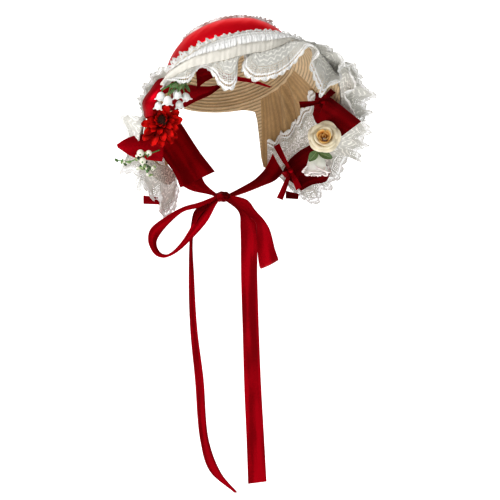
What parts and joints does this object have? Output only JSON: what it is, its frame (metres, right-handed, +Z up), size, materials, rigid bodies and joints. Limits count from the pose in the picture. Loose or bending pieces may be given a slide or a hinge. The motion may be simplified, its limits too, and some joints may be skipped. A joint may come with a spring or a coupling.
{
  "type": "lace bonnet",
  "caption": "Straw bonnet with a deep open brim, gathered lace ruffles, satin bows, small flowers and long ribbon ties in a bow under the chin.",
  "frame": {"origin": "inside the top of the crown, where the top of the head meets it", "axes": "+Z up as worn, the open front and brim towards -Y, +X towards the side with the roses"},
  "size_m": [0.321, 0.2215, 0.6009],
  "materials": {
    "straw": "matt sewn straw braid",
    "hatband_satin": "bright satin",
    "lace": "matt cotton lace",
    "dark_satin": "satin in shade red",
    "red_satin": "satin",
    "rose_petal": "matt petal cloth",
    "bud_petal": "matt petal cloth",
    "daisy_petal": "matt petal cloth",
    "daisy_seed": "matt",
    "leaf": "satin",
    "bell": "soft",
    "berry": "soft"
  },
  "bodies": {
    "root": {"straw_shell": "straw", "hatband": "hatband_satin", "front_ruffle": "lace", "back_ruffle_rose_side": "lace", "back_ruffle_daisy_side": "lace", "ruffle_heading": "lace", "crown_frill": "lace", "flap_lace_rose_side": "lace", "flap_lace_daisy_side": "lace", "tie_panel_daisy_side": "dark_satin", "tie_daisy_side": "dark_satin", "tie_rose_side": "red_satin", "tie_knot": "dark_satin", "tie_loop_daisy_side": "red_satin", "tie_loop_rose_side": "red_satin", "tie_tail_rose_side": "red_satin", "tie_tail_daisy_side": "red_satin", "ribbon_end_daisy_side": "red_satin", "ribbon_end_rose_side": "dark_satin", "rose_side_upper_ribbon": "dark_satin", "rose_side_lower_ribbon": "dark_satin", "rose_side_upper_bow": "dark_satin", "rose_side_lower_bow": "red_satin", "rose": "rose_petal", "rosebud": "bud_petal", "rose_leaf_left": "leaf", "rose_leaf_right": "leaf", "daisy_side_bow_outer_loop": "red_satin", "daisy_side_bow_inner_loop": "dark_satin", "daisy_side_bow_fold": "dark_satin", "daisy_side_bow_tail": "red_satin", "daisy_side_wide_ribbon": "red_satin", "red_daisy": "daisy_petal", "daisy_centre": "daisy_seed", "lily_bell_1": "bell", "lily_bell_2": "bell", "lily_bell_3": "bell", "lily_bell_4": "bell", "lily_bell_5": "bell", "lily_bell_6": "bell", "lily_stem": "leaf", "berry_sprig": "leaf", "berry_1": "berry", "berry_2": "berry", "berry_3": "berry", "berry_4": "berry", "berry_5": "berry"}
  },
  "joints": []
}
